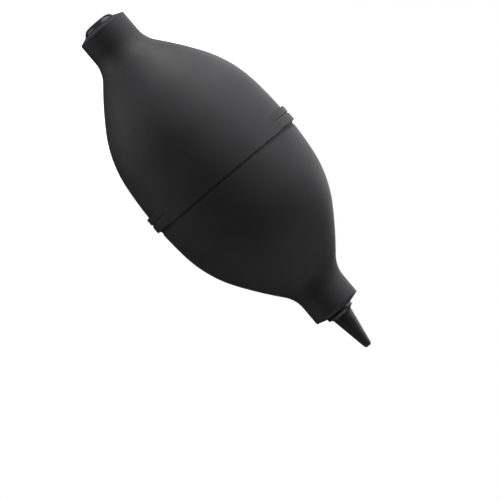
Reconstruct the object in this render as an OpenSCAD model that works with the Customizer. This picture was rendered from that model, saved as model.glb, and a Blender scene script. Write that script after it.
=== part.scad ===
// Dust blower bulb: a hand-squeezed rubber bulb that puffs air out of a fine nozzle.
// It stands on the face of its tail insert, with the nozzle pointing up along +Z.
// Every radius is measured from the Z axis and every height from the surface it stands on.

/* [Bulb] */
// Radius of the rubber bulb at its widest plane, between its side ridges
bulb_r = 28.4; // [28:0.05:29]
// Thickness of the rubber wall
wall = 2.5; // [2.2:0.1:2.6]
// Height of the widest plane
mid_z = 62.9; // [61.5:0.1:64.5]
// Radius of the nearly flat arc that crosses the widest plane
crown_arc_r = 126; // [115:1:140]
// Turn of the outline where the crown arc ends, in degrees
crown_turn = 7; // [6:0.5:8]
// Radius of the arc that rounds the shoulder
shoulder_arc_r = 42; // [40:0.5:44]
// Turn of the outline where the shoulder arc ends, in degrees
shoulder_turn = 33; // [32:0.5:34]
// Turn of the outline where the flank arc ends, in degrees
flank_turn = 40; // [39:0.5:41]
// Radius of the hollow fillet from the flank into each neck
throat_r = 10.5; // [9:0.5:12]

/* [Seam and side ridges] */
// Height of the seam, where the rear half stops lapping over the front half
seam_z = 67.2; // [66:0.1:67.5]
// Depth of the V-shaped groove along the seam
seam_depth = 0.3; // [0.2:0.05:0.5]
// Width of the groove's side on the rear half, at the surface
seam_rear_w = 0.5; // [0.3:0.05:0.7]
// Width of the groove's gentler side on the front half, at the surface
seam_front_w = 0.8; // [0.3:0.05:1]
// Radius of the glued face between the rear half's skirt and the front half's tongue
lap_r = 27.05; // [26.8:0.05:27.4]
// Height where the front half's tongue ends inside the skirt
tongue_z = 60.4; // [59:0.1:61.5]
// Radius over the pair of low ridges on each side, at their highest
ridge_r = 29.35; // [29.2:0.05:30]
// Radius at the bottom of the notch between the two ridges
ridge_notch_r = 28.9; // [28.7:0.05:29.1]
// Height of the lower edge of the lower ridge
ridge_low_z = 60.5; // [60:0.1:61]
// Distance from the upper edge of the upper ridge to the seam
ridge_seam_gap = 0.7; // [0.2:0.1:0.8]
// Height of the middle of the notch
ridge_notch_z = 63.4; // [62.8:0.1:63.6]
// Width of the notch
ridge_notch_w = 0.6; // [0.5:0.1:1]
// Turn about the axis over which a ridge sinks into the bulb on each side, in degrees
ridge_turn = 36; // [30:1:38]
// Size of the ridges' broken edges
ridge_edge = 0.3; // [0.2:0.05:0.35]

/* [Necks] */
// Outside radius of the tail neck, which holds the inlet valve
tail_neck_r = 9.05; // [8.95:0.05:9.1]
// Height of the tail neck's outer edge
tail_edge_z = 2.9; // [2.8:0.1:3.2]
// How far the tail neck's sloping end face stands out past that edge
tail_face_rise = 0.85; // [0.6:0.05:1]
// Outside radius of the nose neck, which holds the nozzle
nose_neck_r = 8.6; // [8.2:0.05:9]
// Height of the nose neck's outer edge
nose_edge_z = 123.1; // [122:0.1:124]
// Radius of the flat that the nozzle's flange sits on
nose_flat_r = 5.3; // [5.1:0.1:6]
// Rise of the nose neck's sloping end face
nose_face_rise = 1; // [0.6:0.1:1.4]
// Height where the air chamber starts to close in the nose neck
nose_shoulder_z = 110.5; // [108:0.5:111]
// Height where the nozzle's socket starts
nose_socket_z = 112.9; // [112:0.1:113]
// Radius of the nozzle's socket
nose_socket_r = 3.05; // [3.04:0.01:3.1]

/* [Grip walls] */
// Half width of the stretch of wall that a thumb or finger pushes in
grip_half_w = 18; // [15:0.5:19]
// Half of the straight part of that stretch's height
grip_half_straight = 10; // [6:0.5:12]
// Gap between a grip wall and the wall around it
grip_gap = 0.3; // [0.2:0.05:0.5]

/* [Inlet valve] */
// Radius of the insert's head
head_r = 6.3; // [6.1:0.05:6.35]
// Rounding of the head's edge
head_round = 2.8; // [2.4:0.1:2.8]
// Radius of the collar that sits in the neck's end face
collar_r = 7; // [6.9:0.05:7.4]
// Radius of the insert's barrel
barrel_r = 6.4; // [6.2:0.05:6.4]
// Height of the barrel's inner end
barrel_top_z = 14; // [12:0.5:16]
// Radius of the bore inside the barrel
barrel_bore_r = 5.1; // [5.0:0.05:5.2]
// Radius of the barbs that hold the insert in the rubber
barb_r = 6.75; // [6.65:0.05:6.8]
// Height of one barb
barb_h = 1.5; // [1:0.1:1.8]
// Height of the lowest barb's foot
barb_low_z = 5.5; // [5:0.1:6]
// Distance from one barb to the next
barb_pitch = 2.6; // [2.4:0.1:2.8]
// Thickness of the end plate that the air comes in through
plate_t = 1.6; // [1.4:0.1:2]
// Radius of the dish in the outer face
dish_r = 2.8; // [2.8:0.1:3.1]
// Depth of the dish
dish_depth = 0.5; // [0.3:0.1:0.7]
// Number of inlet holes
inlet_count = 6; // [4:1:8]
// Radius of an inlet hole
inlet_hole_r = 0.6; // [0.4:0.05:0.7]
// Radius of the circle that the inlet holes lie on
inlet_circle_r = 1.9; // [1.8:0.1:2]
// Inner radius of the ring that the disc closes on
seat_inner_r = 3.2; // [3:0.05:3.3]
// Outer radius of the ring that the disc closes on
seat_outer_r = 3.8; // [3.7:0.05:4]
// Height of that ring
seat_h = 0.5; // [0.4:0.1:0.7]
// Radius of the disc
disc_r = 4.2; // [4.1:0.05:4.25]
// Thickness of the disc
disc_t = 0.9; // [0.7:0.1:1.1]
// Travel of the disc between its seat and the cross bars
disc_lift = 1.2; // [0.8:0.1:1.5]
// Running clearance between the disc and the guide ribs
disc_clearance = 0.08; // [0.05:0.01:0.1]

/* [Nozzle] */
// Height of the nozzle's tip
tip_z = 139.5; // [137:0.5:143]
// Radius of the flange
flange_r = 5.0; // [4.6:0.05:5.05]
// Thickness of the flange
flange_t = 1.2; // [0.8:0.1:1.5]
// Radius of the cone where it would meet the flange without a fillet
cone_root_r = 3.8; // [3.6:0.05:3.85]
// Radius of the ball shape that the cone ends in
tip_ball_r = 1.45; // [1.2:0.05:1.5]
// Fillet between the flange and the cone
cone_fillet = 1.1; // [0.8:0.1:1.1]
// Radius of the outlet
outlet_r = 0.6; // [0.5:0.05:0.65]
// Width of the flat lip round the outlet
outlet_lip = 0.15; // [0.1:0.05:0.3]
// Length of the outlet's straight bore
outlet_len = 3.5; // [2.5:0.5:5]
// Length of the stem inside the nose neck
stem_len = 11; // [9:0.5:11.2]
// Radius of the stem between its ribs
stem_r = 2.7; // [2.6:0.05:2.8]
// Radius of the stem's ribs
stem_rib_r = 3.0; // [2.98:0.01:3.02]
// Height of one of the stem's ribs
stem_rib_h = 1.2; // [0.8:0.1:1.6]
// Distance from one of the stem's ribs to the next
stem_rib_pitch = 3.2; // [2.8:0.1:3.4]
// Radius of the passage at the stem's end
stem_bore_r = 1.9; // [1.6:0.1:2]

/* [Hidden] */
$fn = 96;
rubber = [0.17, 0.17, 0.18];
gloss_black = [0.03, 0.03, 0.05];
satin_black = [0.12, 0.12, 0.13];
silicone = [0.82, 0.80, 0.76];
acetal = [0.88, 0.88, 0.86];

// Straight steps that stand in for the outline's short and long arcs.
short_arc_steps = 3;
long_arc_steps = 8;

// One half of the outline, as radius r against height h above the widest plane. An arc that
// turns from angle a to angle b loses drop() in radius and gains run() in height.
function drop(arc_r, a, b) = arc_r * (cos(a) - cos(b));
function run(arc_r, a, b) = arc_r * (sin(b) - sin(a));
crown_end = [bulb_r - drop(crown_arc_r, 0, crown_turn), run(crown_arc_r, 0, crown_turn)];
shoulder_end = crown_end + [-drop(shoulder_arc_r, crown_turn, shoulder_turn),
                            run(shoulder_arc_r, crown_turn, shoulder_turn)];
// The flank's arc is the one that joins the shoulder to the throat of a neck of this radius.
function flank_end_r(neck_r) = neck_r + throat_r * (1 - cos(flank_turn));
function flank_arc_r(neck_r) =
    (shoulder_end[0] - flank_end_r(neck_r)) / (cos(shoulder_turn) - cos(flank_turn));
function throat_end_h(neck_r) =
    shoulder_end[1] + run(flank_arc_r(neck_r), shoulder_turn, flank_turn)
    + throat_r * sin(flank_turn);
// Points on a convex arc that ends at angle b at the point end, moved out by grow.
function convex_arc(end, arc_r, a, b, grow, steps) =
    [for (i = [1 : steps])
        let (t = a + (b - a) * i / steps)
        end + arc_r * [cos(t) - cos(b), sin(t) - sin(b)] + grow * [cos(t), sin(t)]];
function half_outline(neck_r, grow) =
    let (flank_end = [flank_end_r(neck_r), throat_end_h(neck_r) - throat_r * sin(flank_turn)],
         throat_centre = [neck_r + throat_r, throat_end_h(neck_r)])
    concat(
        convex_arc(crown_end, crown_arc_r, 0, crown_turn, grow, short_arc_steps),
        convex_arc(shoulder_end, shoulder_arc_r, crown_turn, shoulder_turn, grow, long_arc_steps),
        convex_arc(flank_end, flank_arc_r(neck_r), shoulder_turn, flank_turn, grow, short_arc_steps),
        [for (i = [1 : long_arc_steps])
            let (t = flank_turn * (1 - i / long_arc_steps))
            throat_centre - (throat_r - grow) * [cos(t), sin(t)]]);
// The same points as radius against height, above the widest plane or, for side = -1, below.
function side_points(neck_r, side, grow) =
    [for (p = half_outline(neck_r, grow)) [p[0], mid_z + side * p[1]]];
function backwards(points) = [for (i = [len(points) - 1 : -1 : 0]) points[i]];

tiny = 0.01;
overlap = 0.5;
tail_bore_r = tail_neck_r - wall;
tail_face_z = tail_edge_z - tail_face_rise;
// The collar's outer face carries the neck's sloping end face on to the head.
collar_root_r = head_r - overlap;
collar_root_z = tail_face_z - (collar_r - collar_root_r) * tail_face_rise / (tail_neck_r - collar_r);
nose_flat_z = nose_edge_z + nose_face_rise;
flange_top_z = nose_flat_z + flange_t;
skirt_mid_r = (lap_r + bulb_r) / 2;
grip_reach = 3 * bulb_r;
grip_mid_z = (tongue_z + seam_z) / 2;

barb_count = 3;
barb_zs = [for (i = [0 : barb_count - 1]) barb_low_z + barb_pitch * i];
disc_z = plate_t + seat_h;
disc_chamfer = 0.2;
stop_z = disc_z + disc_t + disc_lift;
retainer_ring_t = 0.5;
retainer_rim_h = 2;
retainer_top_z = stop_z + retainer_rim_h;
guide_rib_w = 1.2;
bar_w = 1;
bar_t = 1.1;
bar_turns = [45, 135];

stem_low_z = nose_flat_z - stem_len;
stem_rib_count = 3;
stem_rib_margin = 1;
stem_rib_zs = [for (i = [0 : stem_rib_count - 1]) stem_low_z + stem_rib_margin + stem_rib_pitch * i];
stem_rib_lead_r = 0.25;
stem_rib_lead_h = 0.5;
// The cone's side runs on smoothly into the ball, which the lip cuts off flat.
tip_flat_r = outlet_r + outlet_lip;
ball_z = tip_z - sqrt(pow(tip_ball_r, 2) - pow(tip_flat_r, 2));
cone_len = ball_z - flange_top_z;
cone_tilt = acos(tip_ball_r / norm([cone_root_r, cone_len])) - atan(cone_len / cone_root_r);
cone_slope = tan(cone_tilt);
tip_arc_steps = 12;
tip_arc_end = acos(tip_flat_r / tip_ball_r);
fillet_z = flange_top_z + cone_fillet;
fillet_centre_r = cone_root_r - cone_slope * cone_fillet + cone_fillet / cos(cone_tilt);
fillet_foot_r = fillet_centre_r - cone_fillet * cos(cone_tilt);
fillet_foot_z = fillet_z - cone_fillet * sin(cone_tilt);

// The outline of both halves, filled in to the axis between two heights on the necks. A
// negative grow gives the face that lies that far inside it.
module bulb_section(grow, low = tail_edge_z, high = nose_edge_z)
    polygon(concat([[0, low], [tail_neck_r + grow, low]],
                   backwards(side_points(tail_neck_r, -1, grow)),
                   [[bulb_r + grow, mid_z]],
                   side_points(nose_neck_r, 1, grow),
                   [[nose_neck_r + grow, high], [0, high]]));

// The V-shaped groove along the seam, carried on outwards to twice its depth.
module seam_groove_section() {
    floor_r = bulb_r - seam_depth;
    open_r = bulb_r + seam_depth;
    polygon([[floor_r, seam_z], [open_r, seam_z - 2 * seam_rear_w],
             [open_r, seam_z + 2 * seam_front_w]]);
}

// The rear half's wall, with the thin skirt that laps over the front half's tongue.
module rear_section()
    difference() {
        union() {
            intersection() {
                bulb_section(0);
                square([ridge_r, seam_z]);
            }
            polygon([[collar_r, tail_face_z], [tail_neck_r, tail_edge_z],
                     [tail_neck_r, tail_edge_z + overlap], [collar_r, tail_edge_z + overlap]]);
        }
        bulb_section(-wall, 0);
        translate([0, tongue_z]) square([lap_r, seam_z]);
        seam_groove_section();
    }

// The front half's wall, with the tongue inside the skirt and the nozzle's socket.
module front_section()
    difference() {
        union() {
            intersection() {
                bulb_section(0);
                translate([0, seam_z]) square([ridge_r, nose_edge_z]);
            }
            translate([0, tongue_z]) square([lap_r, seam_z - tongue_z + tiny]);
            polygon([[0, nose_edge_z - overlap], [nose_neck_r, nose_edge_z - overlap],
                     [nose_neck_r, nose_edge_z], [nose_flat_r, nose_flat_z], [0, nose_flat_z]]);
        }
        intersection() {
            bulb_section(-wall);
            square([ridge_r, nose_shoulder_z]);
        }
        polygon([[0, nose_shoulder_z - tiny], [nose_neck_r - wall, nose_shoulder_z - tiny],
                 [nose_socket_r, nose_socket_z], [0, nose_socket_z]]);
        translate([0, nose_socket_z - tiny]) square([nose_socket_r, tip_z]);
        seam_groove_section();
    }

// The wall of both halves together, as a grip wall cuts through it.
module wall_section()
    difference() {
        bulb_section(0);
        bulb_section(-wall);
        seam_groove_section();
    }

// A round, off the axis by shift, that stands top_r out from the axis at its far side and
// crosses the bulb's round ridge_turn away from there.
function ridge_shift(top_r) = (pow(top_r, 2) - pow(bulb_r, 2)) / 2 / (top_r - bulb_r * cos(ridge_turn));

// One crescent on the +X side: a disc about a shifted centre, with its edges broken by edge.
module crescent(low, high, top_r, edge) {
    shift = ridge_shift(top_r);
    round_r = top_r - shift;
    translate([shift, 0, 0])
        rotate_extrude()
            polygon([[0, low], [round_r - edge, low], [round_r, low + edge],
                     [round_r, high - edge], [round_r - edge, high], [0, high]]);
}

// The two ridges on one side, with the notch's floor between them.
module ridge_pair() {
    notch_low = ridge_notch_z - ridge_notch_w / 2;
    notch_high = ridge_notch_z + ridge_notch_w / 2;
    difference() {
        union() {
            crescent(ridge_low_z, notch_low, ridge_r, ridge_edge);
            crescent(notch_low - overlap, notch_high + overlap, ridge_notch_r, tiny);
            crescent(notch_high, seam_z - ridge_seam_gap, ridge_r, ridge_edge);
        }
        cylinder(r = skirt_mid_r, h = seam_z);
    }
}

// A stadium-ended prism along Y, as tall and as wide as a grip wall grown by extra. It is
// longer than the bulb is thick, so its end faces stay clear of the wall.
module grip_prism(extra) {
    grip_w = grip_half_w + extra;
    for (end = [-1, 1])
        translate([0, 0, grip_mid_z + end * grip_half_straight])
            rotate([90, 0, 0]) cylinder(r = grip_w, h = grip_reach, center = true);
    translate([0, 0, grip_mid_z])
        cube([2 * grip_w, grip_reach, 2 * grip_half_straight], center = true);
}

// The stretch of both halves' wall on one side: side is -1 for -Y and 1 for +Y.
module grip_wall(side)
    intersection() {
        rotate_extrude() wall_section();
        grip_prism(-grip_gap / 2);
        translate([0, side * grip_reach / 2, mid_z])
            cube([grip_reach, grip_reach, 2 * mid_z], center = true);
    }

module rear_bulb_half()
    color(rubber)
        difference() {
            union() {
                rotate_extrude() rear_section();
                ridge_pair();
                rotate([0, 0, 180]) ridge_pair();
            }
            grip_prism(grip_gap / 2);
        }

module front_bulb_half()
    color(rubber)
        difference() {
            rotate_extrude() front_section();
            grip_prism(grip_gap / 2);
        }

module thumb_grip_wall() color(rubber) grip_wall(-1);

module finger_grip_wall() color(rubber) grip_wall(1);

// The glossy insert: a round-edged head, a collar let into the neck's end, an end plate with
// the inlet holes and the disc's seat, and a barbed barrel that the neck grips.
module valve_housing()
    color(gloss_black)
        difference() {
            rotate_extrude() {
                square([head_r - head_round, head_round]);
                translate([head_r - head_round, head_round]) intersection() {
                    circle(r = head_round, $fn = 64);
                    translate([-tiny, -head_round]) square([head_round + tiny, head_round]);
                }
                polygon([[0, collar_root_z], [collar_root_r, collar_root_z],
                         [collar_r, tail_face_z], [collar_r, tail_edge_z], [0, tail_edge_z]]);
                translate([0, head_round]) square([barrel_r, barrel_top_z - head_round]);
                for (z = barb_zs)
                    polygon([[barrel_r - overlap, z], [barb_r, z], [barrel_r, z + barb_h],
                             [barrel_r - overlap, z + barb_h]]);
            }
            translate([0, 0, disc_z]) cylinder(r = barrel_bore_r, h = barrel_top_z);
            translate([0, 0, plate_t])
                difference() {
                    cylinder(r = barrel_bore_r, h = seat_h + tiny);
                    translate([0, 0, -tiny]) cylinder(r = seat_outer_r, h = seat_h + 3 * tiny);
                }
            translate([0, 0, plate_t]) cylinder(r = seat_inner_r, h = seat_h + tiny);
            translate([0, 0, -tiny]) cylinder(r = dish_r, h = dish_depth + tiny);
            for (i = [0 : inlet_count - 1])
                rotate([0, 0, 360 / inlet_count * i])
                    translate([inlet_circle_r, 0, 0]) cylinder(r = inlet_hole_r, h = disc_z);
        }

// The floating disc: it lies on its seat and lifts to let air in.
module valve_disc()
    color(silicone)
        rotate_extrude()
            polygon([[0, disc_z], [disc_r - disc_chamfer, disc_z],
                     [disc_r, disc_z + disc_chamfer], [disc_r, disc_z + disc_t - disc_chamfer],
                     [disc_r - disc_chamfer, disc_z + disc_t], [0, disc_z + disc_t]]);

// The ring pressed into the barrel: its ribs guide the disc and its cross bars stop it.
module valve_retainer()
    color(acetal)
        union() {
            translate([0, 0, plate_t])
                difference() {
                    cylinder(r = barrel_bore_r, h = retainer_top_z - plate_t);
                    translate([0, 0, -tiny])
                        cylinder(r = barrel_bore_r - retainer_ring_t, h = retainer_top_z);
                }
            intersection() {
                translate([0, 0, plate_t])
                    difference() {
                        cylinder(r = barrel_bore_r, h = stop_z - plate_t);
                        translate([0, 0, -tiny])
                            cylinder(r = disc_r + disc_clearance, h = retainer_top_z);
                    }
                for (turn = bar_turns)
                    rotate([0, 0, turn])
                        translate([-barrel_bore_r, -guide_rib_w / 2, plate_t])
                            cube([2 * barrel_bore_r, guide_rib_w, stop_z - plate_t]);
            }
            intersection() {
                translate([0, 0, stop_z]) cylinder(r = barrel_bore_r - tiny, h = bar_t);
                for (turn = bar_turns)
                    rotate([0, 0, turn])
                        translate([-barrel_bore_r, -bar_w / 2, stop_z])
                            cube([2 * barrel_bore_r, bar_w, bar_t]);
            }
        }

// Points round the nozzle's tip, from the end of the cone's side to the lip.
function tip_arc_points() =
    [for (i = [0 : tip_arc_steps])
        let (t = cone_tilt + (tip_arc_end - cone_tilt) * i / tip_arc_steps)
        [tip_ball_r * cos(t), ball_z + tip_ball_r * sin(t)]];

// The nozzle: a ribbed stem in the nose neck, a flange against it and a slim cone.
module nozzle()
    color(satin_black)
        rotate_extrude()
            difference() {
                union() {
                    translate([0, stem_low_z]) square([stem_r, stem_len]);
                    for (z = stem_rib_zs)
                        polygon([[0, z], [stem_rib_r - stem_rib_lead_r, z],
                                 [stem_rib_r, z + stem_rib_lead_h],
                                 [stem_rib_r, z + stem_rib_h], [0, z + stem_rib_h]]);
                    translate([0, nose_flat_z]) square([flange_r, flange_t]);
                    difference() {
                        polygon([[0, flange_top_z], [fillet_centre_r, flange_top_z],
                                 [fillet_foot_r, fillet_foot_z], [0, fillet_foot_z]]);
                        translate([fillet_centre_r, fillet_z]) circle(r = cone_fillet, $fn = 64);
                    }
                    polygon(concat([[0, fillet_foot_z], [fillet_foot_r, fillet_foot_z]],
                                   tip_arc_points(), [[0, tip_z]]));
                }
                polygon([[0, stem_low_z - overlap], [stem_bore_r, stem_low_z - overlap],
                         [stem_bore_r, nose_flat_z], [outlet_r, tip_z - outlet_len],
                         [0, tip_z - outlet_len]]);
                translate([0, tip_z - outlet_len - tiny]) square([outlet_r, 2 * outlet_len]);
            }

rear_bulb_half();
front_bulb_half();
thumb_grip_wall();
finger_grip_wall();
valve_housing();
valve_disc();
valve_retainer();
nozzle();
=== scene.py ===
"""Looks of the dust blower bulb: rubber skins, valve insert and nozzle around the CAD frame.

The blower stands on its tail insert with its axis along Z. Radii and heights below are in
millimetres and are turned into metres where a mesh is made.
"""
import math

import bpy
import numpy as np
from mathutils import Matrix, Vector
from mathutils.geometry import tessellate_polygon


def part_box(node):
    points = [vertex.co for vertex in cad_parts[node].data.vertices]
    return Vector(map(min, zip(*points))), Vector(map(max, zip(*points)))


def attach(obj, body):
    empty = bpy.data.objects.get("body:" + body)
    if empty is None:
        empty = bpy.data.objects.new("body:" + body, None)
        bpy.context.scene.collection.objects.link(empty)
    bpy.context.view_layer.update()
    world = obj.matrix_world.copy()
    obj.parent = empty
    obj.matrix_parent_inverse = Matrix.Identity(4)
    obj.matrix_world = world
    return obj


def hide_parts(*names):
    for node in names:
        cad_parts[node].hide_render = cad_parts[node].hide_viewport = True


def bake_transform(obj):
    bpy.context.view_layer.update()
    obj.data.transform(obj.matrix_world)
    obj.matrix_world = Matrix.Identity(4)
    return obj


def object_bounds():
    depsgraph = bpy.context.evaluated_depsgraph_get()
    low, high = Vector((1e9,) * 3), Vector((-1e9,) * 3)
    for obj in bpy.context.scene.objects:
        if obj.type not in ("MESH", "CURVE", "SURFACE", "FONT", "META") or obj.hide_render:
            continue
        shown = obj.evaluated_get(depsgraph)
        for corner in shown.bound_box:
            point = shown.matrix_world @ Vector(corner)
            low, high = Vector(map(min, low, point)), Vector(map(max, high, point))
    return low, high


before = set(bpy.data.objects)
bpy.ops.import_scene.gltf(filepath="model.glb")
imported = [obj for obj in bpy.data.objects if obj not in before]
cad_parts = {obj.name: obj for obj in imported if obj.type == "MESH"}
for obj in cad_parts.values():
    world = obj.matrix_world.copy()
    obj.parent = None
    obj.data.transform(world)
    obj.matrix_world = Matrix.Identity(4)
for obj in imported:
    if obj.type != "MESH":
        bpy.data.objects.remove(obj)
cad_low, cad_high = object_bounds()

MM = 0.001

# ---------------------------------------------------------------- sizes taken from the frame
REAR_LOW, REAR_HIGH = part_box("rear_bulb_half")
FRONT_LOW, FRONT_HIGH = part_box("front_bulb_half")
HOUSING_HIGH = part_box("valve_housing")[1]
NOZZLE_LOW, NOZZLE_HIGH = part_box("nozzle")

TAIL_FACE_Z = REAR_LOW.z / MM         # inner edge of the tail neck's sloping end face
SEAM_Z = REAR_HIGH.z / MM             # where the rear half's skirt ends
RIDGE_R = REAR_HIGH.x / MM            # radius over the side ridges
TONGUE_Z = FRONT_LOW.z / MM           # inner end of the front half's tongue
NOSE_FLAT_Z = FRONT_HIGH.z / MM       # flat end of the nose neck, under the nozzle's flange
COLLAR_R = HOUSING_HIGH.x / MM        # the insert's collar, which sits in the tail neck's face
BARREL_TOP_Z = HOUSING_HIGH.z / MM    # inner end of the insert's barrel
STEM_LOW_Z = NOZZLE_LOW.z / MM        # inner end of the nozzle's stem
TIP_Z = NOZZLE_HIGH.z / MM            # tip of the nozzle
FLANGE_R = NOZZLE_HIGH.x / MM         # the nozzle's flange

# ---------------------------------------------------------------- the bulb's outline
BULB_R = 28.4
WALL = 2.5
MID_Z = 62.9                          # height of the widest plane

# Each half's outline runs from the widest plane to its neck: crown, shoulder and flank are
# arcs that end at the turns given in degrees, and the throat curves into the neck.
CROWN_ARC_R, CROWN_TURN = 126, 7
SHOULDER_ARC_R, SHOULDER_TURN = 42, 33
FLANK_TURN = 40
THROAT_R = 10.5

TAIL_NECK_R = 9.05
TAIL_BORE_R = TAIL_NECK_R - WALL
TAIL_EDGE_Z = 2.9                     # outer edge of the tail neck's end
POCKET_GAP = 0.02                     # round the insert's collar
NOSE_NECK_R = 8.6
NOSE_EDGE_Z = NOSE_FLAT_Z - 1.0       # outer edge of the nose neck's end
NOSE_FLAT_R = 5.3
NOSE_SOCKET_R, NOSE_SOCKET_Z = 3.05, 112.9
NOSE_SHOULDER_Z = 110.5               # where the air chamber starts to close
NOSE_EDGE_ROUND = 0.35

# The rear half's skirt laps over the front half's tongue. The gaps are out of sight.
LAP_R = 27.05
LAP_GAP = 0.03
TONGUE_GAP = 0.05
SEAM_DEPTH = 0.3                      # the seam's groove, with its floor and its two lips
SEAM_REAR_W, SEAM_FRONT_W, SEAM_FLOOR_W = 0.5, 0.8, 0.35

# The pair of low ridges on each side: crescents that sink into the bulb RIDGE_TURN degrees
# away from the X axis.
RIDGE_LOW_Z, RIDGE_HIGH_Z = 60.5, SEAM_Z - 0.7
RIDGE_NOTCH_R, RIDGE_NOTCH_Z, RIDGE_NOTCH_W = 28.9, 63.4, 0.6
RIDGE_TURN = 36
RIDGE_EDGE = 0.3
RIDGE_FOOT = SEAM_DEPTH + 0.05        # how far into the bulb the ridges' ends run down
RIDGE_START_Z = RIDGE_LOW_Z - 0.5     # where the closely spaced rings of points begin

RIDGE_STEP = 0.1                      # distance between the rings of points over the ridges
INSIDE_STEP = 2.2                     # and along the inside of the wall
BORE_STEP = 4                         # and along the tail neck's bore
HALF_TURN_FACES = 128                 # faces around each half turn of a skin
FULL_TURN_FACES = 96                  # and around the insert and the nozzle


def arc(centre, radius, start, stop, step=1.0):
    """Points on an arc from start to stop degrees, about step millimetres apart."""
    count = max(2, math.ceil(abs(math.radians(stop - start)) * radius / step))
    angles = np.radians(np.linspace(start, stop, count + 1))
    return [(centre[0] + radius * math.cos(a), centre[1] + radius * math.sin(a)) for a in angles]


def rounded(points, radii, steps=5):
    """The outline through points with each corner rounded by the radius given for it."""
    out = [points[0]]
    for before, corner, after, radius in zip(points, points[1:], points[2:], radii):
        a, c, b = (np.array(p, float) for p in (before, corner, after))
        to_a, to_b = a - c, b - c
        len_a, len_b = np.linalg.norm(to_a), np.linalg.norm(to_b)
        to_a, to_b = to_a / len_a, to_b / len_b
        half = math.acos(max(-1, min(1, float(to_a @ to_b)))) / 2
        if radius <= 0 or half > math.radians(89):
            out.append(corner)
            continue
        reach = min(radius / math.tan(half), 0.49 * len_a, 0.49 * len_b)
        for i in range(steps + 1):
            t = i / steps
            p = (1 - t) ** 2 * (c + to_a * reach) + 2 * t * (1 - t) * c + t**2 * (c + to_b * reach)
            out.append(tuple(p))
    out.append(points[-1])
    return out


def half_outline(neck_r, grow, step):
    """Radius against height above the widest plane, from that plane to the throat's end."""
    def turned(point, radius, a, b):
        a, b = math.radians(a), math.radians(b)
        return (point[0] - radius * (math.cos(a) - math.cos(b)),
                point[1] + radius * (math.sin(b) - math.sin(a)))

    def convex(end, radius, a, b):
        centre = (end[0] - radius * math.cos(math.radians(b)),
                  end[1] - radius * math.sin(math.radians(b)))
        return arc(centre, radius + grow, a, b, step)[1:]

    crown_end = turned((BULB_R, 0), CROWN_ARC_R, 0, CROWN_TURN)
    shoulder_end = turned(crown_end, SHOULDER_ARC_R, CROWN_TURN, SHOULDER_TURN)
    flank_end_r = neck_r + THROAT_R * (1 - math.cos(math.radians(FLANK_TURN)))
    flank_arc_r = (shoulder_end[0] - flank_end_r) / (
        math.cos(math.radians(SHOULDER_TURN)) - math.cos(math.radians(FLANK_TURN)))
    flank_end = turned(shoulder_end, flank_arc_r, SHOULDER_TURN, FLANK_TURN)
    throat_centre = (neck_r + THROAT_R,
                     flank_end[1] + THROAT_R * math.sin(math.radians(FLANK_TURN)))
    throat = arc(throat_centre, THROAT_R - grow, 180 + FLANK_TURN, 180, step)[1:]
    return ([(BULB_R + grow, 0.0)]
            + convex(crown_end, CROWN_ARC_R, 0, CROWN_TURN)
            + convex(shoulder_end, SHOULDER_ARC_R, CROWN_TURN, SHOULDER_TURN)
            + convex(flank_end, flank_arc_r, SHOULDER_TURN, FLANK_TURN)
            + throat)


def bulb_line(neck_r, side, grow=0.0, step=1.0):
    """The bulb's outline as (radius, height), from the widest plane towards one neck."""
    return [(r, MID_Z + side * h) for r, h in half_outline(neck_r, grow, step)]


def straight(a, b, step=1.5):
    """Points from a to b, about step millimetres apart, without a itself."""
    count = max(1, round(math.dist(a, b) / step))
    return [(a[0] + (b[0] - a[0]) * i / count, a[1] + (b[1] - a[1]) * i / count)
            for i in range(1, count + 1)]


def surface_r(z):
    """The bulb's radius at a height near its widest plane, without ridges."""
    line = bulb_line(NOSE_NECK_R if z > MID_Z else TAIL_NECK_R, 1 if z > MID_Z else -1)
    heights = [abs(h - MID_Z) for _, h in line]
    return float(np.interp(abs(z - MID_Z), heights, [r for r, _ in line]))


def rear_loop():
    """Section of the rear half's wall, out along its outside and back along its inside."""
    pocket_r, pocket_z = COLLAR_R + POCKET_GAP, TAIL_EDGE_Z + POCKET_GAP
    end = rounded(
        [(TAIL_BORE_R, pocket_z + 1.6), (TAIL_BORE_R, pocket_z), (pocket_r, pocket_z),
         (pocket_r, TAIL_FACE_Z), (TAIL_NECK_R, TAIL_EDGE_Z), (TAIL_NECK_R, TAIL_EDGE_Z + 1.2)],
        [0.1, 0.05, 0.1, 0.25])
    outside = [p for p in reversed(bulb_line(TAIL_NECK_R, -1)) if p[1] < RIDGE_START_Z - 0.3]
    neck = straight(end[-1], outside[0])
    groove_start = SEAM_Z - SEAM_REAR_W
    count = round((groove_start - RIDGE_START_Z) / RIDGE_STEP)
    ridges = [(surface_r(z), z) for z in np.linspace(RIDGE_START_Z, groove_start, count + 1)]
    groove = [(BULB_R - SEAM_DEPTH, SEAM_Z - SEAM_FLOOR_W), (BULB_R - SEAM_DEPTH, SEAM_Z)]
    skirt = groove + [(LAP_R, SEAM_Z), (LAP_R, TONGUE_Z), (BULB_R - WALL, TONGUE_Z)]
    inside = [p for p in bulb_line(TAIL_NECK_R, -1, -WALL, INSIDE_STEP) if p[1] < TONGUE_Z - 0.8]
    bore = straight(inside[-1], end[0], BORE_STEP)[:-1]
    return end + neck + outside[1:] + ridges + skirt + inside + bore


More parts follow.
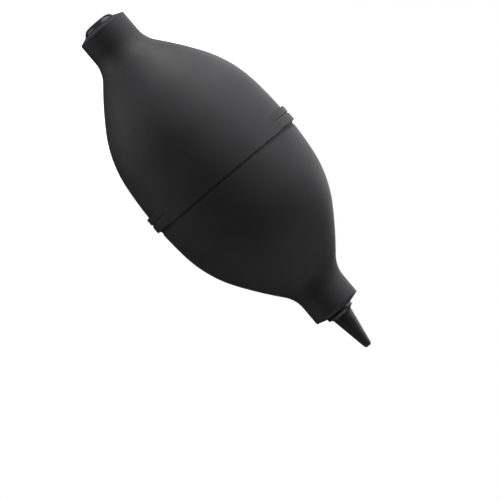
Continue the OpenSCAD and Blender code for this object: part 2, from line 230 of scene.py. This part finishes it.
def front_loop():
    """Section of the front half's wall, out along its outside and back along its inside."""
    groove_end = SEAM_Z + SEAM_FRONT_W
    outside = [p for p in bulb_line(NOSE_NECK_R, 1) if p[1] > groove_end + 0.5]
    seam = rounded(
        [(LAP_R - LAP_GAP, TONGUE_Z + TONGUE_GAP), (LAP_R - LAP_GAP, SEAM_Z + LAP_GAP),
         (BULB_R - SEAM_DEPTH, SEAM_Z + LAP_GAP), (BULB_R - SEAM_DEPTH, SEAM_Z + SEAM_FLOOR_W),
         (surface_r(groove_end), groove_end), outside[0]],
        [0.1, 0.05, 0.3, 0.5])
    nose = rounded(
        [(NOSE_NECK_R, NOSE_EDGE_Z - 1.5), (NOSE_NECK_R, NOSE_EDGE_Z), (NOSE_FLAT_R, NOSE_FLAT_Z),
         (NOSE_SOCKET_R, NOSE_FLAT_Z), (NOSE_SOCKET_R, NOSE_SOCKET_Z),
         (NOSE_NECK_R - WALL, NOSE_SHOULDER_Z)],
        [NOSE_EDGE_ROUND, 0.4, 0.2, 0.6])
    neck = straight(outside[-1], nose[0])[:-1]
    inside = [p for p in reversed(bulb_line(NOSE_NECK_R, 1, -WALL, INSIDE_STEP))
              if p[1] < NOSE_SHOULDER_Z - 0.5]
    tongue = [(BULB_R - WALL, TONGUE_Z + TONGUE_GAP)]
    return seam + outside[1:] + neck + nose + inside + tongue


def smooth_step(value, low, high):
    """0 up to low, 1 from high on, and an S-curve in between."""
    t = min(1.0, max(0.0, (value - low) / (high - low)))
    return t * t * (3 - 2 * t)


def crescent(turn, top_r):
    """How far a round off the axis stands out of the bulb, at a turn away from the X axis."""
    fade = math.cos(math.radians(RIDGE_TURN))
    shift = (top_r**2 - BULB_R**2) / 2 / (top_r - BULB_R * fade)
    round_r = top_r - shift
    return shift * math.cos(turn) + math.sqrt(round_r**2 - (shift * math.sin(turn))**2) - BULB_R


def ridge_height(z, angle):
    """Height of the side ridges over BULB_R at a height z and an angle about the axis."""
    turn = abs(math.remainder(angle, math.pi))
    inner, outer = RIDGE_EDGE * 0.3, RIDGE_EDGE * 0.7
    whole = smooth_step(z, RIDGE_LOW_Z - inner, RIDGE_LOW_Z + outer) * (
        1 - smooth_step(z, RIDGE_HIGH_Z - outer, RIDGE_HIGH_Z + inner))
    notch_side = RIDGE_NOTCH_W / 2
    notch = smooth_step(abs(z - RIDGE_NOTCH_Z), notch_side - inner, notch_side + outer)
    top, floor = crescent(turn, RIDGE_R), crescent(turn, RIDGE_NOTCH_R)
    return whole * (floor + (top - floor) * notch + RIDGE_FOOT) - RIDGE_FOOT


def new_mesh(name, points, faces):
    """An object with no parent, from points in millimetres."""
    mesh = bpy.data.meshes.new(name)
    mesh.from_pydata([(x * MM, y * MM, z * MM) for x, y, z in points], [], faces)
    mesh.validate()
    obj = bpy.data.objects.new(name, mesh)
    bpy.context.scene.collection.objects.link(obj)
    return obj


def shade(obj, sharp_degrees=35):
    """Smooth shading, with edges sharper than the angle left hard."""
    for polygon in obj.data.polygons:
        polygon.use_smooth = True
    obj.data.set_sharp_from_angle(angle=math.radians(sharp_degrees))
    return obj


def turn_sector(name, loop, start, stop, count, raised=None):
    """A closed solid: the section loop turned about Z from start to stop degrees. Where a
    height is given by raised(r, z, angle), the surface stands that much further out."""
    size = len(loop)
    points, faces = [], []
    for i in range(count + 1):
        angle = math.radians(start + (stop - start) * i / count)
        for r, z in loop:
            out = r + (raised(r, z, angle) if raised else 0.0)
            points.append((out * math.cos(angle), out * math.sin(angle), z))
    for i in range(count):
        for j in range(size):
            k = (j + 1) % size
            faces.append((i * size + j, (i + 1) * size + j, (i + 1) * size + k, i * size + k))
    cap = tessellate_polygon([[Vector((r, z, 0)) for r, z in loop]])
    flat = [Vector((r, z)) for r, z in loop]
    for a, b, c in cap:
        area = (flat[b] - flat[a]).cross(flat[c] - flat[a])
        if area > 0:
            b, c = c, b
        faces.append((a, b, c))
        faces.append((count * size + a, count * size + c, count * size + b))
    return shade(new_mesh(name, points, faces))


def turn_full(name, line, count):
    """A closed solid of revolution: line runs from the axis, round the outside, to the axis."""
    points = [(0, 0, line[0][1])]
    rings = line[1:-1]
    for r, z in rings:
        for i in range(count):
            angle = 2 * math.pi * i / count
            points.append((r * math.cos(angle), r * math.sin(angle), z))
    points.append((0, 0, line[-1][1]))
    faces = []
    for i in range(count):
        k = (i + 1) % count
        faces.append((0, 1 + k, 1 + i))
        for j in range(len(rings) - 1):
            low, high = 1 + j * count, 1 + (j + 1) * count
            faces.append((low + i, low + k, high + k, high + i))
        last = 1 + (len(rings) - 1) * count
        faces.append((last + i, last + k, len(points) - 1))
    return shade(new_mesh(name, points, faces))


def turn_tube(name, loop, count):
    """A closed ring-shaped solid: the section loop turned all the way about Z."""
    size = len(loop)
    points, faces = [], []
    for i in range(count):
        angle = 2 * math.pi * i / count
        points += [(r * math.cos(angle), r * math.sin(angle), z) for r, z in loop]
    for i in range(count):
        n = (i + 1) % count
        for j in range(size):
            k = (j + 1) % size
            faces.append((i * size + j, n * size + j, n * size + k, i * size + k))
    return shade(new_mesh(name, points, faces))


# ---------------------------------------------------------------- materials
class Nodes:
    """Short calls for building a node tree around one Principled shader."""

    def __init__(self, name):
        self.material = bpy.data.materials.new(name)
        self.material.use_nodes = True
        self.tree = self.material.node_tree
        self.shader = next(n for n in self.tree.nodes if n.type == "BSDF_PRINCIPLED")
        self.place = self.add("ShaderNodeTexCoord").outputs["Object"]

    def add(self, kind, **values):
        node = self.tree.nodes.new(kind)
        for key, value in values.items():
            setattr(node, key, value)
        return node

    def link(self, a, b):
        self.tree.links.new(a, b)

    def noise(self, scale, detail=3.0, roughness=0.5):
        node = self.add("ShaderNodeTexNoise")
        node.inputs["Scale"].default_value = scale
        node.inputs["Detail"].default_value = detail
        node.inputs["Roughness"].default_value = roughness
        self.link(self.place, node.inputs["Vector"])
        return node.outputs["Fac"]

    def ramp(self, value, low, high, out_low=0.0, out_high=1.0):
        node = self.add("ShaderNodeMapRange")
        for key, number in (("From Min", low), ("From Max", high),
                            ("To Min", out_low), ("To Max", out_high)):
            node.inputs[key].default_value = number
        self.link(value, node.inputs["Value"])
        return node.outputs["Result"]

    def maths(self, operation, a, b):
        node = self.add("ShaderNodeMath", operation=operation)
        for socket, value in zip(node.inputs, (a, b)):
            if isinstance(value, (int, float)):
                socket.default_value = value
            else:
                self.link(value, socket)
        return node.outputs["Value"]

    def mix(self, factor, a, b):
        node = self.add("ShaderNodeMix", data_type="RGBA")
        self.link(factor, node.inputs["Factor"])
        for key, value in (("A", a), ("B", b)):
            socket = [s for s in node.inputs if s.name == key and s.type == "RGBA"][0]
            if isinstance(value, tuple):
                socket.default_value = (*value, 1)
            else:
                self.link(value, socket)
        return [s for s in node.outputs if s.type == "RGBA"][0]

    def bump(self, height, strength, distance, below=None):
        node = self.add("ShaderNodeBump")
        node.inputs["Strength"].default_value = strength
        node.inputs["Distance"].default_value = distance
        self.link(height, node.inputs["Height"])
        if below is not None:
            self.link(below, node.inputs["Normal"])
        return node.outputs["Normal"]

    def finish(self, colour, roughness, normal=None, **fixed):
        self.link(colour, self.shader.inputs["Base Color"])
        self.link(roughness, self.shader.inputs["Roughness"])
        if normal is not None:
            self.link(normal, self.shader.inputs["Normal"])
        for key, value in fixed.items():
            self.shader.inputs[key.replace("_", " ")].default_value = value
        return self.material


def rubber_material():
    """Matte black moulded rubber: fine grain, faint bloom and handling polish, paler edges."""
    m = Nodes("matte_black_rubber")
    bloom = m.ramp(m.noise(38, 4, 0.6), 0.38, 0.68)
    base = m.mix(bloom, (0.0185, 0.0185, 0.0210), (0.0270, 0.0270, 0.0305))
    edge = m.ramp(m.add("ShaderNodeNewGeometry").outputs["Pointiness"], 0.515, 0.58)
    worn = m.maths("MULTIPLY", edge, m.ramp(m.noise(900, 3), 0.35, 0.75, 0.15, 0.6))
    colour = m.mix(worn, base, (0.060, 0.060, 0.063))
    polish = m.ramp(m.noise(55, 3), 0.3, 0.7, 0.61, 0.69)
    rough = m.maths("ADD", polish, m.ramp(m.noise(3200, 2), 0.3, 0.7, -0.03, 0.04))
    swell = m.bump(m.noise(70, 2), 0.25, 0.0004)
    grain = m.bump(m.noise(2600, 3, 0.6), 0.22, 0.00006, swell)
    return m.finish(colour, rough, grain)


def seam_shade_material():
    """Painted shade: a dull dark band on the seam's groove, darker than the rubber, standing in
    for the groove's shadow.
    """
    m = Nodes("seam_painted_shade")
    streaks = m.ramp(m.noise(420, 3, 0.6), 0.35, 0.7)
    # Painted shade: these dark colours and the low specular level darken the seam's groove.
    colour = m.mix(streaks, (0.013, 0.013, 0.0145), (0.019, 0.019, 0.021))
    rough = m.ramp(m.noise(1800, 3), 0.3, 0.7, 0.72, 0.84)
    lumps = m.bump(m.noise(900, 3), 0.2, 0.00008)
    return m.finish(colour, rough, lumps, Specular_IOR_Level=0.36)


def gloss_material():
    """Glossy black moulded plastic with a blue cast, hairline scratches and a faint haze."""
    m = Nodes("gloss_black_plastic")
    haze = m.ramp(m.noise(260, 4), 0.35, 0.7)
    colour = m.mix(haze, (0.024, 0.025, 0.035), (0.032, 0.033, 0.045))
    rough = m.ramp(m.noise(700, 5, 0.7), 0.35, 0.75, 0.12, 0.24)
    ripple = m.bump(m.noise(160, 2), 0.10, 0.0003)
    return m.finish(colour, rough, ripple, Specular_IOR_Level=0.3, Coat_Weight=0.1,
                    Coat_Roughness=0.06)


def satin_material():
    """Satin black moulded plastic: spark-eroded grain and slightly paler rubbed edges."""
    m = Nodes("satin_black_plastic")
    base = m.mix(m.ramp(m.noise(420, 4), 0.35, 0.7), (0.038, 0.038, 0.040), (0.048, 0.048, 0.051))
    edge = m.ramp(m.add("ShaderNodeNewGeometry").outputs["Pointiness"], 0.53, 0.62, 0, 0.5)
    colour = m.mix(edge, base, (0.062, 0.062, 0.065))
    rough = m.ramp(m.noise(1800, 3), 0.3, 0.7, 0.24, 0.31)
    grain = m.bump(m.noise(5200, 2), 0.15, 0.00003)
    return m.finish(colour, rough, grain)


def silicone_material():
    """Off-white silicone: cloudy, softly lit from inside, with a smooth moulded skin."""
    m = Nodes("offwhite_silicone")
    cloud = m.ramp(m.noise(600, 4), 0.3, 0.7)
    colour = m.mix(cloud, (0.62, 0.60, 0.55), (0.74, 0.72, 0.68))
    rough = m.ramp(m.noise(1500, 3), 0.3, 0.7, 0.38, 0.50)
    skin = m.bump(m.noise(2500, 2), 0.15, 0.00003)
    return m.finish(colour, rough, skin, Subsurface_Weight=0.25, Subsurface_Scale=0.001)


def acetal_material():
    """Natural acetal: milky, slightly waxy, with faint machining swirl."""
    m = Nodes("natural_acetal")
    cloud = m.ramp(m.noise(500, 3), 0.3, 0.7)
    colour = m.mix(cloud, (0.66, 0.66, 0.63), (0.76, 0.76, 0.73))
    rough = m.ramp(m.noise(2200, 3), 0.3, 0.7, 0.34, 0.46)
    swirl = m.bump(m.noise(3800, 2), 0.12, 0.00003)
    return m.finish(colour, rough, swirl)


def floor_material():
    """A plain pale studio floor, bright enough to read as white, with a faint shadow."""
    m = Nodes("pale_floor")
    colour = m.mix(m.ramp(m.noise(6, 2), 0.3, 0.7), (0.86, 0.86, 0.86), (0.88, 0.88, 0.88))
    rough = m.ramp(m.noise(20, 2), 0.3, 0.7, 0.85, 0.95)
    return m.finish(colour, rough, Specular_IOR_Level=0.0, Emission_Color=(1, 1, 1, 1),
                    Emission_Strength=FLOOR_GLOW)


def dress(obj, material):
    """Gives an object one material."""
    obj.data.materials.clear()
    obj.data.materials.append(material)
    return obj


# ---------------------------------------------------------------- the pieces
SIDES = {"finger": (0, 180, 1), "thumb": (180, 360, -1)}


def outer_ridges(r, z, angle):
    """How far the side ridges raise a point of the rear half's outer face."""
    on_ridges = RIDGE_START_Z < z < SEAM_Z and r > (LAP_R + BULB_R) / 2
    return max(0.0, BULB_R + ridge_height(z, angle) - r) if on_ridges else 0.0


def paint_seam_shade(skin, seam_shade):
    """Gives the faces of the seam's groove, out to its rounded lips, the material that paints
    shade on them.
    """
    skin.data.materials.append(seam_shade)
    groove_low = SEAM_Z - SEAM_REAR_W - RIDGE_STEP / 2
    groove_high = SEAM_Z + SEAM_FRONT_W + 0.25
    for face in skin.data.polygons:
        points = [skin.data.vertices[i].co / MM for i in face.vertices]
        outside = min(p.xy.length for p in points) > LAP_R + 0.1
        if outside and all(groove_low < p.z < groove_high for p in points):
            face.material_index = 1


def bulb_skins(rubber, seam_shade):
    """Each half's wall as a thumb-side and a finger-side piece that meet on the plane y = 0."""
    halves = {"rear": (rear_loop(), "rear_bulb_half", outer_ridges),
              "front": (front_loop(), "front_bulb_half", None)}
    for half, (loop, node, raised) in halves.items():
        for side, (start, stop, sign) in SIDES.items():
            skin = turn_sector(f"{half}_half_{side}_side", loop, start, stop,
                               HALF_TURN_FACES, raised)
            dress(skin, rubber)
            # The seam's groove gets painted shade.
            paint_seam_shade(skin, seam_shade)
            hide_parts(node, f"{side}_grip_wall")
            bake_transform(skin)


# The insert: its round-edged head, barbed barrel, end plate, disc's seat and inlet holes.
HEAD_R, HEAD_ROUND = 6.3, 2.8
HEAD_END_TURN = -25                   # where the head's rounding runs into the collar's slope
BARREL_R, BARREL_BORE_R = 6.4, 5.1
BARB_R, BARB_H, BARB_LEAD = 6.75, 1.5, 0.05
BARB_COUNT, BARB_LOW_Z, BARB_PITCH = 3, 5.5, 2.6
PLATE_T = 1.6
DISH_R, DISH_DEPTH, DISH_SLOPE_W = 2.8, 0.5, 0.4
SEAT_INNER_R, SEAT_OUTER_R, SEAT_H = 3.2, 3.8, 0.5
INLET_COUNT, INLET_CIRCLE_R, INLET_HOLE_R = 6, 1.9, 0.6
INLET_FLARE = 0.2                     # how much wider the holes are at their mouths
CUT_OVER = 0.4                        # how far the holes' cutters reach past the plate
CUTTER_FACES = 28


def housing_line():
    """Outline of the valve housing from the dish's middle, round the outside, to the plate."""
    head = arc((HEAD_R - HEAD_ROUND, HEAD_ROUND), HEAD_ROUND, -90, HEAD_END_TURN, 0.12)
    collar = rounded([head[-1], (COLLAR_R, TAIL_FACE_Z), (COLLAR_R, TAIL_EDGE_Z),
                      (BARREL_R, TAIL_EDGE_Z), (BARREL_R, BARB_LOW_Z - 1)],
                     [0.1, 0.08, 0.05])[1:]
    dish = rounded([(0, DISH_DEPTH), (DISH_R - DISH_SLOPE_W, DISH_DEPTH), (DISH_R, 0),
                    (head[0][0], 0)],
                   [0.25, 0.35])
    barbs = []
    for i in range(BARB_COUNT):
        z = BARB_LOW_Z + BARB_PITCH * i
        barbs += [(BARREL_R, z), (BARB_R, z + BARB_LEAD), (BARREL_R, z + BARB_H)]
    inner = rounded([(BARREL_R, BARREL_TOP_Z - 1), (BARREL_R, BARREL_TOP_Z),
                     (BARREL_BORE_R, BARREL_TOP_Z),
                     (BARREL_BORE_R, PLATE_T), (SEAT_OUTER_R, PLATE_T),
                     (SEAT_OUTER_R, PLATE_T + SEAT_H), (SEAT_INNER_R, PLATE_T + SEAT_H),
                     (SEAT_INNER_R, PLATE_T), (0, PLATE_T)],
                    [0.3, 0.2, 0.1, 0.1, 0.08, 0.08, 0.1])
    return dish[:-1] + head + collar + barbs + inner


def cut_holes(obj):
    """Cuts the ring of inlet holes through the housing's end plate."""
    cutters = []
    for i in range(INLET_COUNT):
        angle = 2 * math.pi * i / INLET_COUNT
        x, y = INLET_CIRCLE_R * math.cos(angle), INLET_CIRCLE_R * math.sin(angle)
        flare = [(0, 0.1), (INLET_HOLE_R + INLET_FLARE, DISH_DEPTH - 0.1),
                 (INLET_HOLE_R, DISH_DEPTH + 0.15),
                 (INLET_HOLE_R, PLATE_T + CUT_OVER), (0, PLATE_T + CUT_OVER)]
        cutter = turn_full(f"cutter_{i}", flare, CUTTER_FACES)
        cutter.data.transform(Matrix.Translation((x * MM, y * MM, 0)))
        cutters.append(cutter)
    for cutter in cutters:
        boolean = obj.modifiers.new("hole", "BOOLEAN")
        boolean.operation = "DIFFERENCE"
        boolean.solver = "EXACT"
        boolean.object = cutter
    depsgraph = bpy.context.evaluated_depsgraph_get()
    cut = bpy.data.meshes.new_from_object(obj.evaluated_get(depsgraph))
    obj.modifiers.clear()
    obj.data = cut
    for cutter in cutters:
        bpy.data.objects.remove(cutter)
    return shade(obj)


def valve_insert(gloss):
    """The glossy insert in the tail neck."""
    housing = cut_holes(turn_full("tail_valve_insert", housing_line(), FULL_TURN_FACES))
    dress(housing, gloss)
    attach(housing, "bulb")
    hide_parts("valve_housing")


# The nozzle: its flange, its cone that ends in a ball, its outlet and its ribbed stem.
FLANGE_T, FLANGE_LOW_ROUND, FLANGE_TOP_ROUND = 1.2, 0.15, 0.5
CONE_ROOT_R, CONE_FILLET, FILLET_TURN = 3.8, 1.1, 20
TIP_BALL_R = 1.45
OUTLET_R, OUTLET_LEN, OUTLET_LIP = 0.6, 3.5, 0.15
STEM_R, STEM_BORE_R = 2.7, 1.9
STEM_RIB_R, STEM_RIB_H, STEM_RIB_LEAD = 3.0, 1.2, 0.45
STEM_RIB_COUNT, STEM_RIB_PITCH, STEM_RIB_MARGIN = 3, 3.2, 1


def nozzle_loop():
    """Section of the nozzle's wall: up the outside and down the passage."""
    flange_top = NOSE_FLAT_Z + FLANGE_T
    tip_flat_r = OUTLET_R + OUTLET_LIP
    ball_z = TIP_Z - math.sqrt(TIP_BALL_R**2 - tip_flat_r**2)
    cone_len = ball_z - flange_top
    tilt = (math.acos(TIP_BALL_R / math.hypot(CONE_ROOT_R, cone_len))
            - math.atan(cone_len / CONE_ROOT_R))

    def cone_r(z):
        return CONE_ROOT_R - math.tan(tilt) * (z - flange_top)

    stem = [(STEM_BORE_R, STEM_LOW_Z), (STEM_R, STEM_LOW_Z)]
    for i in range(STEM_RIB_COUNT):
        z = STEM_LOW_Z + STEM_RIB_MARGIN + STEM_RIB_PITCH * i
        stem += [(STEM_R, z), (STEM_RIB_R, z + STEM_RIB_LEAD), (STEM_RIB_R, z + STEM_RIB_H),
                 (STEM_R, z + STEM_RIB_H)]
    flange = rounded([(STEM_R, NOSE_FLAT_Z), (FLANGE_R, NOSE_FLAT_Z), (FLANGE_R, flange_top),
                      (FLANGE_R - 1, flange_top)],
                     [FLANGE_LOW_ROUND, FLANGE_TOP_ROUND])
    fillet_z = flange_top + CONE_FILLET
    fillet_r = cone_r(fillet_z) + CONE_FILLET / math.cos(tilt)
    fillet = arc((fillet_r, fillet_z), CONE_FILLET, 270 - FILLET_TURN, 180 + math.degrees(tilt),
                 0.15)
    tip_end = math.degrees(math.acos(tip_flat_r / TIP_BALL_R))
    tip = arc((0, ball_z), TIP_BALL_R, math.degrees(tilt), tip_end, 0.08)
    cone = straight(fillet[-1], tip[0])[:-1]
    passage = rounded([tip[-1], (OUTLET_R, TIP_Z), (OUTLET_R, TIP_Z - OUTLET_LEN),
                       (STEM_BORE_R, NOSE_FLAT_Z), (STEM_BORE_R, STEM_LOW_Z + 0.5)],
                      [0.06, 0.3, 0.3])
    return stem + flange[:-1] + fillet + cone + tip + passage[1:]


def nozzle_piece(satin):
    """The slim nozzle with its flange and ribbed stem."""
    nozzle = dress(turn_tube("nozzle_cone", nozzle_loop(), FULL_TURN_FACES), satin)
    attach(nozzle, "nozzle")
    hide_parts("nozzle")


def inner_pieces(silicone, acetal):
    """The valve's disc and retainer keep their CAD shapes."""
    dress(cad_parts["valve_disc"], silicone)
    dress(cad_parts["valve_retainer"], acetal)


# ---------------------------------------------------------------- studio
def soft_box(name, place, target, size, watts):
    """A square area light at a place, turned towards a target."""
    light = bpy.data.lights.new(name, "AREA")
    light.size = size
    light.energy = watts
    obj = bpy.data.objects.new(name, light)
    bpy.context.scene.collection.objects.link(obj)
    obj.location = place
    obj.rotation_euler = (target - place).to_track_quat("-Z", "Y").to_euler()


# The axis points down and right in the picture, AXIS_DOWN degrees below the horizontal.
AXIS_DOWN = 49.88
DOWN_SIN, DOWN_COS = math.sin(math.radians(AXIS_DOWN)), math.cos(math.radians(AXIS_DOWN))
PICTURE_RIGHT = Vector((-DOWN_SIN, 0, DOWN_COS))
PICTURE_UP = Vector((-DOWN_COS, 0, -DOWN_SIN))
TO_CAMERA = Vector((0, -1, 0))

# Each soft box: its name, its direction from the blower as right, up and towards the camera,
# its size in metres and its power in watts. They stand a metre away.
SOFT_BOXES = (
    ("top_box", (0, 1, 0), 0.9, 6.3),
    ("top_core", (0, 1, 0), 0.2, 3.4),
    ("top_front_box", (0, 1, 1), 0.9, 3.8),
    ("top_right_box", (1, 1, 0), 0.9, 4.7),
    ("low_right_box", (1, -1, 0), 0.9, 2.6),
    ("left_box", (-1, 0, 0), 0.9, 4.1),
    ("low_box", (0, -1, 0), 0.9, 1.1),
    ("back_box", (1, 1, -2.2), 0.9, 5.6),
)
LIT_MIDDLE = Vector((0, 0, 0.07))     # the point that they face, in metres
FLOOR_HALF_W = 1.5                    # in metres
FLOOR_DROP = 0.1                      # how far the floor lies under the blower, in millimetres
FLOOR_GLOW = 0.84
FLOOR_SUN, FLOOR_SUN_ANGLE = 1.0, 70


def studio():
    """Pale floor, white backdrop and soft boxes all round."""
    half = FLOOR_HALF_W / MM
    corners = ((-half, -half), (half, -half), (half, half), (-half, half))
    floor = new_mesh("studio_floor", [(x, y, -FLOOR_DROP) for x, y in corners], [(0, 1, 2, 3)])
    dress(floor, floor_material())
    floor.visible_diffuse = False
    floor.visible_glossy = False
    floor.visible_shadow = False

    world = bpy.data.worlds.new("studio_world")
    bpy.context.scene.world = world
    world.use_nodes = True
    tree = world.node_tree
    tree.nodes.clear()
    path = tree.nodes.new("ShaderNodeLightPath")
    backdrop = tree.nodes.new("ShaderNodeBackground")
    backdrop.inputs["Color"].default_value = (1, 1, 1, 1)
    out = tree.nodes.new("ShaderNodeOutputWorld")
    tree.links.new(path.outputs["Is Camera Ray"], backdrop.inputs["Strength"])
    tree.links.new(backdrop.outputs["Background"], out.inputs["Surface"])

    for name, (right, up, near), size, watts in SOFT_BOXES:
        towards = (PICTURE_RIGHT * right + PICTURE_UP * up + TO_CAMERA * near).normalized()
        soft_box(name, LIT_MIDDLE + towards, LIT_MIDDLE, size, watts)

    floor_group = bpy.data.collections.new("floor_receivers")
    floor_group.objects.link(floor)
    sun = bpy.data.lights.new("floor_sun", "SUN")
    sun.energy = FLOOR_SUN
    sun.angle = math.radians(FLOOR_SUN_ANGLE)
    lamp = bpy.data.objects.new("floor_sun", sun)
    bpy.context.scene.collection.objects.link(lamp)
    lamp.light_linking.receiver_collection = floor_group
    bpy.context.scene.view_settings.view_transform = "Standard"


# These are in metres. The picture's middle lies beside the blower's, towards the nozzle.
CAMERA_DISTANCE = 1.4
VIEW_WIDTH = 0.165
MIDDLE_OFF_X, MIDDLE_OFF_Z = 0.00965, 0.0203


def camera():
    """Looks along +Y, rolled so that the blower's axis points down and right."""
    data = bpy.data.cameras.new("camera")
    data.sensor_width = 36
    data.lens = data.sensor_width * CAMERA_DISTANCE / VIEW_WIDTH
    data.clip_start, data.clip_end = 0.05, 50
    obj = bpy.data.objects.new("camera", data)
    bpy.context.scene.collection.objects.link(obj)
    middle = (cad_low + cad_high) / 2
    upright = Matrix.Rotation(math.radians(90), 4, "X")
    roll = Matrix.Rotation(math.radians(90 + AXIS_DOWN), 4, "Z")
    place = Vector((middle.x + MIDDLE_OFF_X, middle.y - CAMERA_DISTANCE, middle.z + MIDDLE_OFF_Z))
    obj.matrix_world = Matrix.Translation(place) @ upright @ roll
    bpy.context.scene.camera = obj


camera()
# The second material paints shade on the seam's groove.
bulb_skins(rubber_material(), seam_shade_material())
valve_insert(gloss_material())
nozzle_piece(satin_material())
inner_pieces(silicone_material(), acetal_material())
studio()
